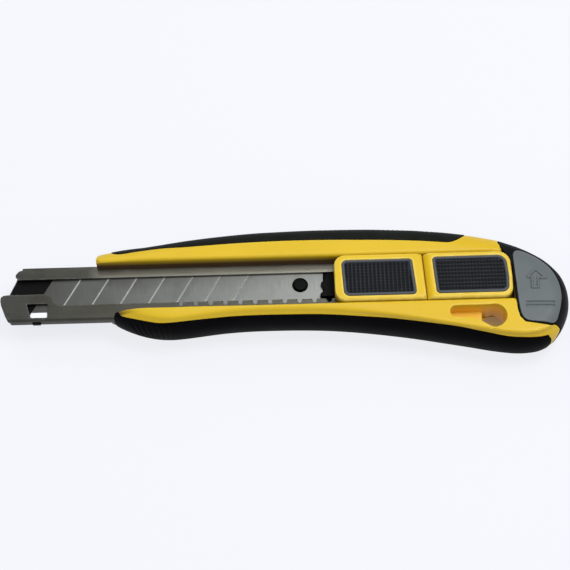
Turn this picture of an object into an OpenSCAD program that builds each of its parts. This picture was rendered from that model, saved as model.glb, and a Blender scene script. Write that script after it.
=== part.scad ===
// Snap-off utility knife, 18 mm blade, with reserve blades in the handle.
// It lies on its back casing: X runs from the nose (-X) to the end cap (+X),
// +Y is the spine side and +Z is the face that carries the thumb slide.

/* [Body] */
// Thickness of the handle's outer casing at its edge lips
lip_z = 18.4; // [18:0.1:18.8]
// Height of the plane where the two casing halves meet
split_z = 8; // [8:0.1:8.4]
// Width of the rounding around the casing's edge
edge_r = 6.5; // [6:0.1:7]
// Thickness of the rubber grips on the edge
grip_t = 1.2; // [1:0.1:1.3]

/* [Rail] */
// Outer width of the steel channel
rail_w = 20; // [20:0.1:20.2]
// Outer depth of the steel channel
rail_d = 4; // [3.9:0.1:4.1]
// Thickness of the channel's sheet steel
sheet = 0.8; // [0.6:0.1:0.8]
// Distance between the detent notches
notch_pitch = 5; // [5:1:5]
// Number of detent notches
notch_n = 16; // [12:1:16]
// Width of a detent notch
notch_w = 1.6; // [1.2:0.1:2]

/* [Blade] */
// Width of the blade
blade_w = 18; // [18:1:18]
// Length of the blade along its back
blade_l = 100; // [98:1:100]
// Thickness of the blade
blade_t = 0.5; // [0.4:0.1:0.6]
// Distance between the score lines
segment = 9.5; // [9:0.1:10]
// Radius of the hole at the blade's tail
blade_hole_r = 2.7; // [2.5:0.1:2.8]
// Depth of the score lines
score_d = 0.12; // [0.05:0.01:0.2]

/* [Slide] */
// How far the thumb slide travels
slide_travel = 75; // [70:1:75]
// Gap between the slide and the slot it runs in
slide_gap = 0.3; // [0.2:0.05:0.4]
// Top of the slide's frame
slide_z = 19.3; // [19:0.1:19.6]
// How far the ribbed pads stand over their frames
pad_up = 0.5; // [0.3:0.1:0.7]
// Radius of the peg that holds the blade
peg_r = 2.1; // [2:0.05:2.3]

/* [Rear button] */
// Stroke of the rear button
button_stroke = 1.2; // [1:0.1:1.3]
// Radius of the plunger under the button
plunger_r = 2; // [1.8:0.1:2.2]
// Mean radius of the coil spring under the button
spring_r = 3.4; // [3.2:0.1:3.6]
// Turns of the coil spring
spring_turns = 3; // [3:1:4]

/* [Lanyard hole] */
// Radius of the lanyard hole
hole_r = 4; // [3.6:0.1:4.2]
// Depth of the thumbnail slot beside the hole
slot_depth = 6; // [4:0.5:7]

/* [Magazine] */
// Number of reserve blades is two; thickness of each
spare_t = 0.5; // [0.4:0.1:0.5]

/* [Hidden] */
$fn = 48;
e = 0.01;

yr = 1.9;                         // middle line of rail and blade
slot_lo = -7.2;                   // lower lip of the slide's slot
slot_hi = 10.3;                   // upper lip of the slide's slot
flange_hi = 7.2;                  // inner edge of the upper rail flange
flange_lo = -2.6;                 // inner edge of the lower rail flange
rail_z = 8;                       // underside of the rail
rail_top = rail_z + rail_d;
blade_z = 10.5;                   // underside of the blade
hole_x = 70;
hole_y = -13.3;

// ---- casing outline, from the front of the spine round the cap to the belly
out_pts = [[-76, 11.6], [-70, 12.9], [-64, 14.1], [-58, 15.4], [-50, 16.9], [-42, 18.1],
    [-34, 19.3], [-26, 20.3], [-18, 21.1], [-9, 21.8], [0, 22.1], [9, 22.2],
    [20, 22.1], [30, 21.9], [40, 21.4], [48, 20.8], [56, 19.8], [64, 18.4],
    [72, 16.5], [76, 15], [80, 13.2], [84, 11], [88, 8.2], [91, 5.2], [93.4, 1.8],
    [94.9, -2.2], [95.4, -6.4], [95.1, -10.2], [93.9, -14], [92.2, -17],
    [89.6, -19.6], [86, -21.4], [82, -22.1], [77, -22.1], [70, -21.1], [62, -19.4],
    [54, -17.8], [46, -16.2], [38, -14.8], [30, -13.6], [22, -12.6], [14, -11.9],
    [5, -11.5], [-4, -11.4], [-12, -11.5], [-20, -12], [-27, -12.8], [-33, -13.5],
    [-38, -13.8], [-43, -13.4], [-48, -12.2], [-53, -10.2], [-58, -7.6],
    [-64, -5], [-76, -1]];
function cr(a, b, c, d, t) = 0.5 * ((2 * b) + (c - a) * t
    + (2 * a - 5 * b + 4 * c - d) * t * t + (3 * b - a - 3 * c + d) * t * t * t);
function smooth(p, k) = let (n = len(p)) [for (i = [0 : n - 2]) for (j = [0 : k - 1])
    cr(p[max(i - 1, 0)], p[i], p[i + 1], p[min(i + 2, n - 1)], j / k), p[n - 1]];
outline = smooth(out_pts, 2);
no = len(outline);
function nrm(i) = let (a = outline[max(i - 1, 0)], b = outline[min(i + 1, no - 1)],
    d = b - a, l = norm(d)) [d[1] / l, -d[0] / l];
function inset(d) = [for (i = [0 : no - 1]) outline[i] + nrm(i) * d];

// rounding of the edge: inset and height of each level, top then bottom
top_lv = [for (a = [0, 14, 30, 46, 62, 76, 90])
    [edge_r * (1 - cos(a)), 10 + (lip_z - 10) * sin(a)]];
bot_lv = [for (a = [72, 54, 36, 18])
    [5.2 * (1 - cos(a)), 10 - 10.4 * sin(a)]];
levels = concat([[5.2, -0.4]], bot_lv, top_lv);

// the whole casing as one rounded solid, cut flat at the back
module pillow() {
    nl = len(levels);
    pts = [for (l = levels) for (p = inset(l[0])) [p[0], p[1], l[1]]];
    sides = [for (k = [0 : nl - 2]) for (i = [0 : no - 1])
        let (j = (i + 1) % no, a = k * no + i, b = k * no + j, c = (k + 1) * no + j,
            d = (k + 1) * no + i) each [[a, b, c], [a, c, d]]];
    polyhedron(points = pts, faces = concat(sides,
        [[for (i = [no - 1 : -1 : 0]) i]],
        [[for (i = [0 : no - 1]) (nl - 1) * no + i]]), convexity = 10);
}

module slab(z0, z1, pts) translate([0, 0, z0]) linear_extrude(z1 - z0) polygon(pts);
module block(x0, x1, y0, y1, z0, z1) translate([x0, y0, z0]) cube([x1 - x0, y1 - y0, z1 - z0]);

// seam between the yellow casing and the upper grip, and the area above it
seam_top = smooth([[-56.5, 12.6], [-54, 12.7], [-50, 13.4], [-42, 14.5], [-34, 15.2],
    [-26, 15.8], [-18, 16.3], [-9, 16.7], [0, 16.7], [12, 16.7], [24, 16.4],
    [36, 16], [46, 15.3], [52, 14.8], [56.5, 14.5], [59.5, 15.6], [62, 17.2], [64, 19.2]], 2);
area_top = concat([[-56.5, 14]], seam_top, [[64, 30], [-60, 30], [-60, 18], [-57.5, 15.4]]);
// seam between the yellow casing and the lower grip, and the area below it
seam_low = smooth([[-55.4, -7.4], [-54, -8.6], [-50, -10], [-46, -11.1], [-42, -11.9], [-38, -12],
    [-34, -11.7], [-26, -10.8], [-18, -10.1], [-10, -9.9], [0, -9.9], [10, -10.1],
    [18, -10.6], [26, -11.4], [34, -12.2], [42, -13.5], [50, -15], [58, -16.5],
    [66, -18.2], [74, -19.9], [80, -20.6], [86, -20.9], [90, -21.4]], 2);
area_low = concat([[-62, -5], [-56.6, -5]], seam_low, [[90, -30], [-62, -30]]);
// end cap, seen from above
cap_pts = [[72.6, 30], [72.9, 13.6], [73.6, 11.9], [74.8, 10], [76.2, 7.6], [76.9, 4], [77.2, -1],
    [77.4, -7], [77.7, -11.6], [78.3, -14.2], [79.9, -16.2], [84.3, -17.6],
    [90.6, -19.6], [98, -22], [98, 30]];
// plan of the front of the casing: the two tips
front_cut = [[-90, -30], [-58, -30], [-58, -30], [-56.4, -10.2], [-57.6, -8.4], [-58.2, -6],
    [-58.4, -3], [-63.4, 4], [-63.6, 11.4], [-62.8, 12.8], [-61, 14], [-57.5, 15],
    [-56, 30], [-90, 30]];

module core() slab(4, 14.4, inset(grip_t));
module under_grip(area) difference() {
    slab(-5, 30, area);
    core();
}
module lanyard_cut() {
    translate([hole_x, hole_y, -5]) cylinder(r = hole_r, h = 40);
    translate([0, 0, lip_z - slot_depth]) linear_extrude(20) union() {
        translate([57.2, -11.6]) circle(2.1);
        translate([57.2, -13.7]) square([10.6, 4.2]);
    }
}
module screw_at() for (p = [[-40, 13.2], [-40, -10.2], [66, 13.6], [46, -11.8]])
    translate([p[0], p[1], 0]) children();

// part of the casing that reaches into the cap and guides it
module neck() difference() {
    union() {
        block(76, 79.6, -13.4, 10.2, 10.6, 12.4);
        block(77.2, 79.6, -13.4, 10.2, 10.6, 15.5);
        block(76, 79.6, -13.4, -8.2, split_z, 15.5);
    }
    // groove for the cap's rib
    block(77.9, 79.1, -30, 30, 14.4, 20);
}
module front_shell() color("gold") difference() {
    union() {
        difference() {
            intersection() {
                pillow();
                block(-80, 100, -30, 30, split_z, lip_z - 0.03);
            }
            under_grip(area_top);
            under_grip(area_low);
            slab(-5, 30, front_cut);
            slab(-5, 30, cap_pts);
        }
        neck();
    }
    // channel of the rail, slot of the slide
    block(-90, 62.1, yr - rail_w / 2 - 0.05, yr + rail_w / 2 + 0.05, 0, rail_top + 0.05);
    block(-90, 62, slot_lo, slot_hi, rail_top, 40);
    // opening of the rear button, with a wider pocket for its flange
    block(47, 77.1, slot_lo, slot_hi, rail_top + 0.4, 40);
    block(50, 75, slot_lo - 1.2, slot_hi + 1.2, rail_top + 0.4, 15.6);
    // room over the reserve blades behind the rail
    block(62, 90, yr - 9.9, yr + 9.9, 0, 11.4);
    translate([70, yr, 0]) cylinder(r = plunger_r + 0.05, h = 20);
    lanyard_cut();
    screw_at() cylinder(r = 1.15, h = 14.3);
}
module back_shell() color("goldenrod") difference() {
    intersection() {
        pillow();
        block(-80, 100, -30, 30, 0, split_z);
    }
    under_grip(area_top);
    under_grip(area_low);
    slab(-5, 30, front_cut);
    slab(-5, 30, cap_pts);
    // well of the magazine
    block(-32, 90, yr - 9.95, yr + 9.95, 1.7, 20);
    translate([hole_x, hole_y, -5]) cylinder(r = hole_r, h = 40);
    screw_at() {
        translate([0, 0, -1]) cylinder(r = 1.5, h = 5.2);
        translate([0, 0, 0]) cylinder(r = 1.15, h = 15);
    }
    for (x = [-54, -42]) translate([x, yr, 4]) cylinder(r = 1.05, h = 6);
}

module grip_solid(area) difference() {
    intersection() {
        pillow();
        slab(0, 30, area);
    }
    slab(-5, 30, front_cut);
    core();
}
module upper_grip() color("#2a2c28") difference() {
    grip_solid(area_top);
    slab(-5, 30, cap_pts);
    // fine ribs across the spine
    for (i = [0 : 22]) let (x = 14.6 + i * 1.65)
        translate([x, 21.75 - (x > 26 ? (x - 26) * (x - 26) * 0.0026 : 0), 5]) cube([0.7, 2, 10]);
}
module lower_grip() color("#151516") difference() {
    grip_solid(area_low);
    slab(-5, 30, [[96, -40], [90.4, -40], [90.4, 0], [96, 0]]);
    // clear of the rail at the front tip
    block(-90, -40, yr - rail_w / 2 - 0.05, 0, 1.7, rail_top + 0.05);
    block(-90, -40, slot_lo, 0, 1.7, 40);
}

// ---- rail
low_flange = [[-91.8, -8.1], [62, -8.1], [62, flange_lo], [-76.2, flange_lo],
    [-76.9, -1.2], [-78, 0.4], [-79.4, 1.4], [-80.6, 1.7], [-93, 1.7], [-94.4, 1.5],
    [-95.2, 0.8], [-95.4, -0.4], [-95, -2.2], [-94.1, -4.4], [-93, -6.6]];
up_flange = [[-88, 11.9], [62, 11.9], [62, flange_hi], [-89.2, flange_hi], [-90.4, 8.4],
    [-90.4, 9.2], [-89.4, 10.8]];
floor_pts = [[-88, 11.9], [62, 11.9], [62, -8.1], [-91.8, -8.1], [-93, -6.6], [-94.1, -4.4],
    [-95, -2.2], [-95, -0.6], [-93.2, 2], [-90.4, 8.4], [-90.4, 9.2], [-89.4, 10.8]];
module blade_rail() color("#74736b") {
    difference() {
        union() {
            slab(rail_z, rail_z + sheet, floor_pts);
            slab(rail_top - sheet, rail_top, low_flange);
            slab(rail_top - sheet, rail_top, up_flange);
            block(-91.8, 62, -8.1, -8.1 + sheet, rail_z, rail_top);
            block(-88, 62, 11.9 - sheet, 11.9, rail_z, rail_top);
        }
        for (i = [0 : notch_n - 1]) translate([-34.5 + i * notch_pitch, flange_lo - 1.4, rail_top - 2])
            union() {
                translate([-notch_w / 2, 0, 0]) cube([notch_w, 4, 4]);
                cylinder(r = notch_w / 2, h = 4);
            }
        // window at the nose
        slab(rail_top - 2, rail_top + 1, [[-86.4, -1.9], [-79.4, -1.9], [-79.4, -7.2], [-84.8, -7.2],
            [-85.4, -5.2]]);
        // slot for the bed's clip
        block(-84.6, -81.4, -9, -8.1 + sheet + e, 9, 10.8);
        for (x = [-54, -42]) translate([x, yr, 0]) cylinder(r = 1.05, h = 10);
    }
}
bed_step = 1 - slide_travel - 4;   // the carrier's tongue stops short of this step
module rail_bed() color("#101010") {
    // nylon strip on the rail's floor, stepped up at the nose ahead of the slide's travel
    difference() {
        union() {
            block(bed_step, -20, yr - 8.9, yr + 8.9, rail_z + sheet, 9.5);
            slab(rail_z + sheet, 10.3, [[-88.6, 10.8], [bed_step, 10.8], [bed_step, -7], [-92, -7],
                [-93.2, -4.4], [-93.8, -1.6], [-92.4, 2.2]]);
        }
        for (x = [-54, -42]) translate([x, yr, 0]) cylinder(r = 2.2, h = 12);
    }
    block(-84.3, -81.7, -8.6, -7, 9.2, 10.3);
}

// ---- blade, drawn with its tip at the given X, cutting edge towards -Y
module knife_blade(tip, t) {
    // the front is cut at 60 degrees, like the score lines
    k = blade_w / tan(60);
    difference() {
        slab(0, t, [[tip, yr - blade_w / 2], [tip + k, yr + blade_w / 2],
            [tip + k + blade_l - k, yr + blade_w / 2], [tip + blade_l - 2.4, yr + blade_w / 2 - 12],
            [tip + blade_l - 4, yr - blade_w / 2]]);
        for (i = [1 : 7]) translate([tip + i * segment, yr - blade_w / 2, t])
            rotate([0, 0, 60]) translate([-2, -0.1, -score_d]) cube([26, 0.2, 1]);
        // ground edge
        translate([tip - 5, yr - blade_w / 2, t]) rotate([0, 90, 0]) linear_extrude(blade_l + 10)
            polygon([[-1, -1], [t * 0.8, -1], [t * 0.8, 0], [0, 2.2], [-1, 2.2]]);
        translate([tip + 92, yr + 1.1, -1]) cylinder(r = blade_hole_r, h = 4);
    }
}
module blade() color("#a0a098") translate([0, 0, blade_z]) knife_blade(-86.2, blade_t);

// ---- thumb slide
front_block = smooth([[20.8, 10.3], [18.6, 8.6], [17.6, 5.6], [17.3, 1.9], [17.5, -2], [18.3, -5],
    [20.2, -7.2]], 3);
module slide_plan() polygon(concat([for (p = front_block) [p[0], max(slot_lo + slide_gap, min(slot_hi - slide_gap, p[1]))]],
    [[47.2, slot_lo + slide_gap], [46.4, slot_hi - slide_gap]]));
module rear_plan() polygon(concat([[47.2, 10]], smooth([[72.4, 10], [74.6, 9.2], [75.9, 7.2], [76.4, 4],
    [76.6, 0.6], [76.4, -3], [75.4, -5.8], [73, -7]], 3), [[48, -7]]));
module pad_plan() union() {
    polygon([[20, -3.6], [19.7, 5], [20.6, 7.2], [22, 7.8], [42.4, 7.8], [43.5, 7.2], [43.9, 6],
        [44.5, -4.2], [44.1, -5.3], [43, -5.8], [22.2, -5.8], [20.7, -5.2]]);
}
module rear_pad_plan() polygon([[49.9, 7], [50.4, -4.2], [50.9, -5.3], [52, -5.8], [72.2, -5.8],
    [74.2, -4.9], [75, -3], [75.1, 2], [74.7, 5.2], [73.4, 7.4], [71.4, 8.4], [51.2, 8.4], [50.2, 8]]);
module slider_frame() color("gold") difference() {
    translate([0, 0, 12.4]) linear_extrude(slide_z - 12.4) slide_plan();
    translate([0, 0, slide_z - 1.5]) linear_extrude(5) pad_plan();
    // hollow underneath
    block(24, 42, -5, 8, 10, slide_z - 3);
}
module slider_pad() color("#2e3235") translate([0, 0, slide_z - 1.5]) difference() {
    linear_extrude(1.5 + pad_up) pad_plan();
    for (i = [0 : 12]) translate([22.6 + i * 1.5, -4.8, 1.5 + pad_up - 0.3]) cube([0.6, 11.4, 1]);
}
module blade_carrier() color("#1a1a1b") difference() {
    union() {
        // tongue under the blade
        block(1, 46, -6.6, 10.4, 9.7, 10.4);
        // body behind the blade
        block(16.2, 46, -6.6, 10.4, 10.4, 11);
        // neck between the flanges
        slab(10.4, 12.4, [[17, flange_lo + 0.4], [46, flange_lo + 0.4], [46, flange_hi - 0.4],
            [17, flange_hi - 0.4], [15.8, 5], [15.2, 2], [15.8, -0.8]]);
        // peg through the blade's hole
        translate([5.8, 3, 10]) cylinder(r = peg_r, h = 1.5);
    }
    // slot of the detent spring
    block(26, 44, flange_lo, flange_lo + 1.4, 11.1, 12.5);
}
module detent_spring() color("silver") {
    // bowed leaf beside the toothed flange
    slab(11.3, 12, [[26.2, flange_lo + 0.9], [38.8, flange_lo + 0.5], [39.9, flange_lo + 0.15],
        [41.1, flange_lo + 0.15], [42.2, flange_lo + 0.5], [43.8, flange_lo + 0.6],
        [43.8, flange_lo + 0.9], [42, flange_lo + 0.8], [41, flange_lo + 0.45],
        [40, flange_lo + 0.45], [38.9, flange_lo + 0.8], [26.2, flange_lo + 1.3]]);
}

// ---- rear button
ceil_z = slide_z - 1.5 - 1.4;      // underside of the button's top wall
button_z = rail_top + 0.4 + button_stroke + 0.3;   // underside of the button
module feed_button() color("gold") difference() {
    union() {
        translate([0, 0, button_z]) linear_extrude(slide_z - button_z) rear_plan();
        block(50.4, 74.6, slot_lo - 0.8, slot_hi + 0.8, button_z, 15.3);
    }
    translate([0, 0, slide_z - 1.5]) linear_extrude(5) rear_pad_plan();
    block(53, 74.4, -5, 8.6, 10, ceil_z);
}
module feed_button_pad() color("#2e3235") translate([0, 0, slide_z - 1.5]) difference() {
    linear_extrude(1.5 + pad_up) rear_pad_plan();
    for (i = [0 : 6]) translate([52, -4.6 + i * 1.7, 1.5 + pad_up - 0.3]) cube([21, 0.7, 1]);
}
module feed_plunger() color("#1a1a1b") translate([70, yr, 8.6]) cylinder(r = plunger_r, h = ceil_z - 8.6);
deck_z = rail_top + 0.4;
function coil(i, n, h, w) = let (a = 360 * spring_turns * i / n, z = w + (h - 2 * w) * i / n)
    [for (j = [0 : 7]) let (b = 45 * j) [(spring_r + w * cos(b)) * cos(a), (spring_r + w * cos(b)) * sin(a),
        z + w * sin(b)]];
module feed_spring() color("silver") translate([70, yr, deck_z]) {
    n = 16 * spring_turns;
    h = ceil_z - deck_z;
    pts = [for (i = [0 : n]) each coil(i, n, h, 0.35)];
    polyhedron(points = pts, faces = concat(
        [for (i = [0 : n - 1]) for (j = [0 : 7]) let (k = (j + 1) % 8)
            each [[i * 8 + j, (i + 1) * 8 + k, i * 8 + k], [i * 8 + j, (i + 1) * 8 + j, (i + 1) * 8 + k]]],
        [[for (j = [0 : 7]) j]], [[for (j = [7 : -1 : 0]) n * 8 + j]]), convexity = 10);
}

// ---- end cap
plate_pts = [[77.5, 6.4], [78, 7.6], [79.4, 7.9], [82.6, 5.9], [86.4, 3], [89.4, -0.4],
    [91.2, -4.8], [91.6, -9.4], [90.6, -14], [89, -17.6], [84.4, -16.6], [80.4, -15.4],
    [79.2, -13.8], [78.6, -11.4], [78.2, -7], [78, -1], [77.7, 4]];
cap_gap = 0.25;
module end_cap() color("#17181a") difference() {
    intersection() {
        pillow();
        translate([cap_gap, cap_gap, 0]) slab(0, 30, cap_pts);
    }
    // hollow, open towards the handle and along the cap's own path
    difference() {
        slab(1.5, 15.8, [[60, -40], [60, 13.2], [74, 13.2], [76, 12.2], [80, 10.6], [84, 8.4],
            [87, 5.6], [88.4, 3], [88.4, -40]]);
        // rib that runs in the neck's groove
        block(78.2, 78.8, -13.4, 9.6, 14.7, 20);
    }
    translate([0, 0, lip_z - 0.7]) linear_extrude(5) polygon(plate_pts);
}
module cap_plate() color("#62676c") {
    translate([0, 0, lip_z - 0.7]) linear_extrude(0.9) polygon(plate_pts);
    // raised arrow and bars
    slab(lip_z + 0.2, lip_z + 0.5, [[84.3, 2.6], [81.4, -0.6], [83.2, -0.6], [83.2, -4.2],
        [85.4, -4.2], [85.4, -0.6], [87.2, -0.6]]);
    for (y = [-9.8, -11.2]) block(80.8, 90, y, y + 0.5, lip_z + 0.2, lip_z + 0.5);
}
module cap_catch() color("silver") {
    // spring clip inside the cap that bears on the neck
    block(80.3, 80.6, -12, -3, 9, 15.8);
    block(79.9, 80.3, -9, -8, 9, 15.8);
}

// ---- magazine
module magazine_tray() color("#303234") difference() {
    block(-31.8, 76, yr - 9.9, yr + 9.9, 1.7, 7.8);
    block(-30.8, 90, yr - 9.15, yr + 9.15, 2.7, 12);
    block(-40, 0, yr - 5, yr + 5, 3.4, 12);
}
module spare_blade_upper() color("#a0a098") translate([0, 0, 6.2]) knife_blade(-26, spare_t);
module spare_blade_lower() color("#90908a") translate([0, 0, 5.5]) knife_blade(-26, spare_t);
module magazine_spring() color("silver") translate([0, yr + 4, 0]) rotate([90, 0, 0]) linear_extrude(8)
    polygon([[-10, 2.7], [0, 3.4], [10, 4.4], [20, 5.1], [24, 5.3], [28, 5.1], [38, 4.4], [48, 3.4],
        [58, 2.7], [58, 3], [48, 3.7], [38, 4.7], [28, 5.4], [24, 5.5], [20, 5.4], [10, 4.7],
        [0, 3.7], [-10, 3]]);

// ---- fasteners
module case_screws() color("silver") screw_at() difference() {
    union() {
        translate([0, 0, 2.6]) cylinder(r = 1.45, h = 1.6);
        translate([0, 0, 4.2]) cylinder(r = 1.1, h = split_z + 6 - 4.2);
    }
    for (a = [0, 90]) rotate([0, 0, a]) translate([-1, -0.2, 2]) cube([2, 0.4, 1.3]);
}
module rail_rivets() color("silver") for (x = [-54, -42]) translate([x, yr, 0]) {
    translate([0, 0, 4.2]) cylinder(r = 1, h = 4.9);
    translate([0, 0, rail_z + sheet]) cylinder(r = 2, h = 0.6);
}

front_shell();
back_shell();
upper_grip();
lower_grip();
blade_rail();
rail_bed();
blade();
slider_frame();
slider_pad();
blade_carrier();
detent_spring();
feed_button();
feed_button_pad();
feed_spring();
feed_plunger();
end_cap();
cap_plate();
cap_catch();
magazine_tray();
spare_blade_upper();
spare_blade_lower();
magazine_spring();
case_screws();
rail_rivets();
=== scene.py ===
import math
import bpy
import numpy as np
from mathutils import Vector, Matrix
from mathutils.geometry import delaunay_2d_cdt


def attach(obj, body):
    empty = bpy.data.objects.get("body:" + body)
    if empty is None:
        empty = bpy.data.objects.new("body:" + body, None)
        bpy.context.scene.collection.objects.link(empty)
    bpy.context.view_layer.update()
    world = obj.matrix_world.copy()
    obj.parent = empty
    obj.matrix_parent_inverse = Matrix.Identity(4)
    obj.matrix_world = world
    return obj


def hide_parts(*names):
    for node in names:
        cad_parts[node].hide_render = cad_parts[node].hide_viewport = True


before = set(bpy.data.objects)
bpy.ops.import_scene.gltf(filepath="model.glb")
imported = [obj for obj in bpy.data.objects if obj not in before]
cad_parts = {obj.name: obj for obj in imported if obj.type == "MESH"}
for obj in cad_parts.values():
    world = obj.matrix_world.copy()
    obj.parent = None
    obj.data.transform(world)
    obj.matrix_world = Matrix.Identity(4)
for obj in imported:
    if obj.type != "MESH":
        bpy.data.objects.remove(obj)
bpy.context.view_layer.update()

MM = 0.001
TAU = math.tau

# ------------------------------------------------------------------ curves
def smooth(points, k):
    p = np.array(points, float)
    n = len(p)
    out = []
    for i in range(n - 1):
        a, b, c, d = p[max(i - 1, 0)], p[i], p[i + 1], p[min(i + 2, n - 1)]
        for j in range(k):
            t = j / k
            out.append(0.5 * ((2 * b) + (c - a) * t + (2 * a - 5 * b + 4 * c - d) * t * t
                              + (3 * b - a - 3 * c + d) * t ** 3))
    out.append(p[-1])
    return np.array(out)


def fillet(points, radii, n=5):
    """A closed polygon with its corners rounded."""
    p = np.array(points, float)
    m = len(p)
    if not hasattr(radii, "__len__"):
        radii = [radii] * m
    out = []
    for i in range(m):
        a, b, c = p[i - 1], p[i], p[(i + 1) % m]
        u, v = a - b, c - b
        lu, lv = np.linalg.norm(u), np.linalg.norm(v)
        u, v = u / lu, v / lv
        ang = math.acos(max(-1, min(1, float(u @ v))))
        if radii[i] <= 0 or ang > math.pi - 0.05:
            out.append(b)
            continue
        t = min(radii[i] / math.tan(ang / 2), 0.45 * lu, 0.45 * lv)
        r = t * math.tan(ang / 2)
        w = (u + v) / np.linalg.norm(u + v)
        c0 = b + w * (r / math.sin(ang / 2))
        a0 = math.atan2(*((b + u * t - c0)[::-1]))
        a1 = math.atan2(*((b + v * t - c0)[::-1]))
        d = (a1 - a0 + math.pi) % TAU - math.pi
        for j in range(n + 1):
            s = a0 + d * j / n
            out.append(c0 + r * np.array([math.cos(s), math.sin(s)]))
    return np.array(out)


def resample(loop, step):
    loop = np.array(loop, float)
    keep = [0]
    for i in range(1, len(loop)):
        if np.linalg.norm(loop[i] - loop[keep[-1]]) > 0.02:
            keep.append(i)
    loop = loop[keep]
    if np.linalg.norm(loop[0] - loop[-1]) < 0.02:
        loop = loop[:-1]
    out = []
    for i in range(len(loop)):
        a, b = loop[i], loop[(i + 1) % len(loop)]
        k = max(1, int(math.ceil(np.linalg.norm(b - a) / step)))
        for j in range(k):
            out.append(a + (b - a) * j / k)
    return np.array(out)


def area(loop):
    x, y = loop[:, 0], loop[:, 1]
    return 0.5 * float(np.sum(x * np.roll(y, -1) - np.roll(x, -1) * y))


def seg_dist(q, loops, closed=True):
    out = np.full(len(q), 1e9)
    for L in loops:
        L = np.array(L, float)
        A = L if closed else L[:-1]
        B = np.roll(L, -1, axis=0) if closed else L[1:]
        AB = B - A
        L2 = (AB ** 2).sum(1) + 1e-12
        for c in range(0, len(q), 3000):
            Q = q[c:c + 3000, None, :]
            t = np.clip(((Q - A) * AB).sum(2) / L2, 0, 1)
            d = np.sqrt((((A + t[..., None] * AB) - Q) ** 2).sum(2)).min(1)
            out[c:c + 3000] = np.minimum(out[c:c + 3000], d)
    return out


def inside(q, loops):
    res = np.zeros(len(q), bool)
    for L in loops:
        A, B = L, np.roll(L, -1, axis=0)
        for c in range(0, len(q), 3000):
            x, y = q[c:c + 3000, 0:1], q[c:c + 3000, 1:2]
            hit = ((A[:, 1] > y) != (B[:, 1] > y)) & (
                x < (B[:, 0] - A[:, 0]) * (y - A[:, 1]) / (B[:, 1] - A[:, 1] + 1e-30) + A[:, 0])
            res[c:c + 3000] ^= (hit.sum(1) % 2).astype(bool)
    return res


# ------------------------------------------------------------------ casing surface
LIP, EDGE = 18.4, 6.5
OUT = [[-76, 11.6], [-70, 12.9], [-64, 14.1], [-58, 15.4], [-50, 16.9], [-42, 18.1],
       [-34, 19.3], [-26, 20.3], [-18, 21.1], [-9, 21.8], [0, 22.1], [9, 22.2],
       [20, 22.1], [30, 21.9], [40, 21.4], [48, 20.8], [56, 19.8], [64, 18.4],
       [72, 16.5], [76, 15], [80, 13.2], [84, 11], [88, 8.2], [91, 5.2], [93.4, 1.8],
       [94.9, -2.2], [95.4, -6.4], [95.1, -10.2], [93.9, -14], [92.2, -17],
       [89.6, -19.6], [86, -21.4], [82, -22.1], [77, -22.1], [70, -21.1], [62, -19.4],
       [54, -17.8], [46, -16.2], [38, -14.8], [30, -13.6], [22, -12.6], [14, -11.9],
       [5, -11.5], [-4, -11.4], [-12, -11.5], [-20, -12], [-27, -12.8], [-33, -13.5],
       [-38, -13.8], [-43, -13.4], [-48, -12.2], [-53, -10.2], [-58, -7.6],
       [-64, -5], [-76, -1]]
O = smooth(OUT, 10)
SL = np.concatenate([[0], np.cumsum(np.linalg.norm(np.diff(O, axis=0), axis=1))])
_t = np.gradient(O, axis=0)
_n = np.stack([_t[:, 1], -_t[:, 0]], 1)
for _ in range(3):
    _n = np.concatenate([_n[:1], (_n[:-2] + 2 * _n[1:-1] + _n[2:]) / 4, _n[-1:]])
ON = _n / np.linalg.norm(_n, axis=1)[:, None]

# profile across the rounded edge, from the flat front face round to the flat back
_a = np.linspace(0, math.pi / 2, 61)
_td = EDGE * (1 - np.cos(_a))[::-1]
_tz = (10 + (LIP - 10) * np.sin(_a))[::-1]
_b = np.linspace(0, math.asin(10 / 10.4), 61)[1:]
_bd = 5.2 * (1 - np.cos(_b))
_bz = 10 - 10.4 * np.sin(_b)
PD = np.concatenate([_td, _bd])
PZ = np.concatenate([_tz, _bz])
PT = np.concatenate([[0], np.cumsum(np.hypot(np.diff(PD), np.diff(PZ)))])
T_EQ = PT[60]
T_END = PT[-1]
D_END = PD[-1]
_gd, _gz = np.gradient(PD, PT), np.gradient(PZ, PT)
_l = np.hypot(_gd, _gz)
PND, PNZ = _gz / _l, -_gd / _l        # outward: away from the handle's middle
PND[0], PNZ[0] = 0.0, 1.0
T_SPLIT = float(np.interp(-8.0, -PZ[60:], PT[60:]))


def foot(q):
    q = np.asarray(q, float).reshape(-1, 2)
    A, B = O[:-1], O[1:]
    AB = B - A
    L2 = (AB ** 2).sum(1)
    s = np.empty(len(q))
    D = np.empty(len(q))
    for c in range(0, len(q), 2000):
        Q = q[c:c + 2000, None, :]
        t = np.clip(((Q - A) * AB).sum(2) / L2, 0, 1)
        P = A + t[..., None] * AB
        d2 = ((P - Q) ** 2).sum(2)
        i = d2.argmin(1)
        r = np.arange(len(i))
        tt = t[r, i]
        s[c:c + 2000] = SL[i] + tt * np.sqrt(L2[i])
        n = np.stack([AB[i, 1], -AB[i, 0]], 1) / np.sqrt(L2[i])[:, None]
        v = q[c:c + 2000] - P[r, i]
        sg = np.sign((v * n).sum(1))
        D[c:c + 2000] = np.where(sg >= 0, 1, -1) * np.sqrt(d2[r, i])
    return s, D


def at(s):
    s = np.asarray(s, float)
    return np.stack([np.interp(s, SL, O[:, 0]), np.interp(s, SL, O[:, 1])], -1)


def nat(s):
    s = np.asarray(s, float)
    n = np.stack([np.interp(s, SL, ON[:, 0]), np.interp(s, SL, ON[:, 1])], -1)
    return n / np.linalg.norm(n, axis=-1)[..., None]


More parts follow.
